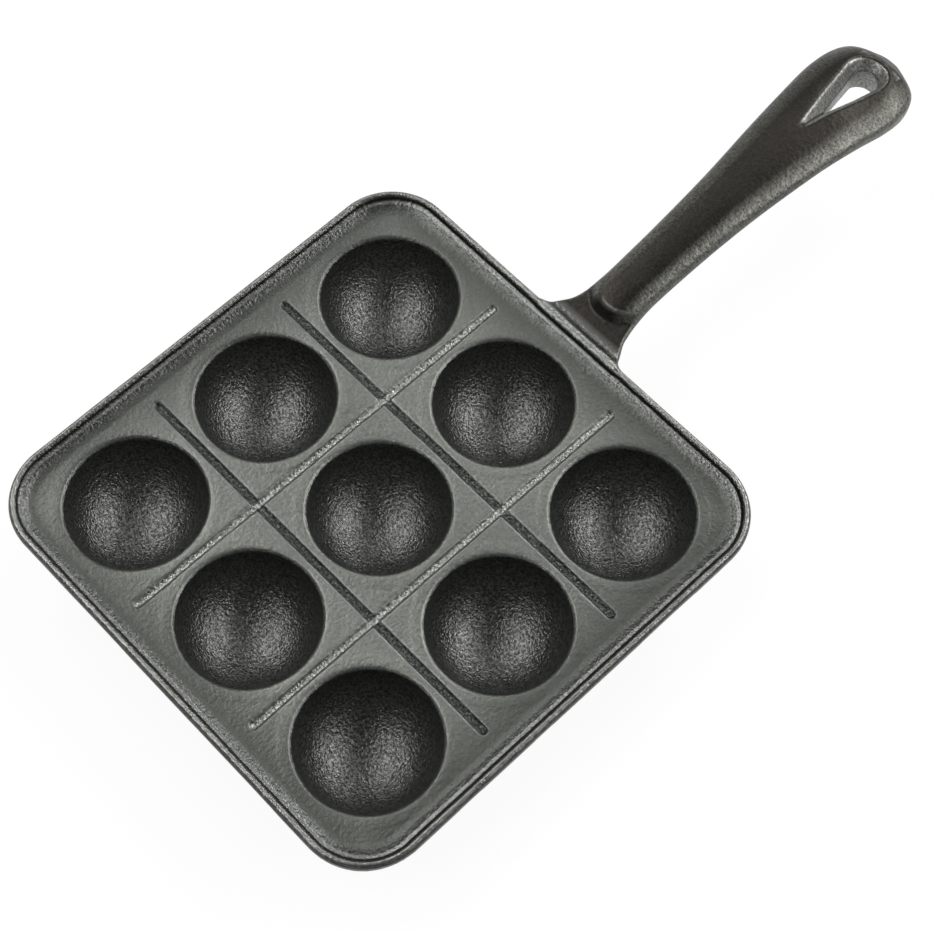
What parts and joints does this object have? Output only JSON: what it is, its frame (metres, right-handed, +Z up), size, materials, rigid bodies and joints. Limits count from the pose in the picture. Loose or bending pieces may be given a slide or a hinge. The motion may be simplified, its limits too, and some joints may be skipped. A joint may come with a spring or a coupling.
{
  "type": "takoyaki pan",
  "caption": "Square cast-iron takoyaki pan with rows of hemispherical wells, a stepped rim, divider grooves and an arched handle with a hanging hole.",
  "frame": {"origin": "under the middle well, on the plane that the cups stand on", "axes": "+Z up out of the wells, +Y along the handle from the plate to its tip, +X to the right when looking along +Y"},
  "size_m": [0.153, 0.2833, 0.0383],
  "materials": {
    "cast_iron": "fine-grained bare casting, seasoned dark"
  },
  "bodies": {
    "root": {"floor_cell_front_left": "cast_iron", "well_cup_front_left": "cast_iron", "floor_cell_front_centre": "cast_iron", "well_cup_front_centre": "cast_iron", "floor_cell_front_right": "cast_iron", "well_cup_front_right": "cast_iron", "floor_cell_middle_left": "cast_iron", "well_cup_middle_left": "cast_iron", "floor_cell_middle_centre": "cast_iron", "well_cup_middle_centre": "cast_iron", "floor_cell_middle_right": "cast_iron", "well_cup_middle_right": "cast_iron", "floor_cell_handle_left": "cast_iron", "well_cup_handle_left": "cast_iron", "floor_cell_handle_centre": "cast_iron", "well_cup_handle_centre": "cast_iron", "floor_cell_handle_right": "cast_iron", "well_cup_handle_right": "cast_iron", "rim_side_right": "cast_iron", "rim_side_handle": "cast_iron", "rim_side_left": "cast_iron", "rim_side_front": "cast_iron", "rim_corner_handle_right": "cast_iron", "rim_corner_handle_left": "cast_iron", "rim_corner_front_left": "cast_iron", "rim_corner_front_right": "cast_iron", "handle_neck": "cast_iron", "handle_grip": "cast_iron", "handle_eye": "cast_iron"}
  },
  "joints": []
}
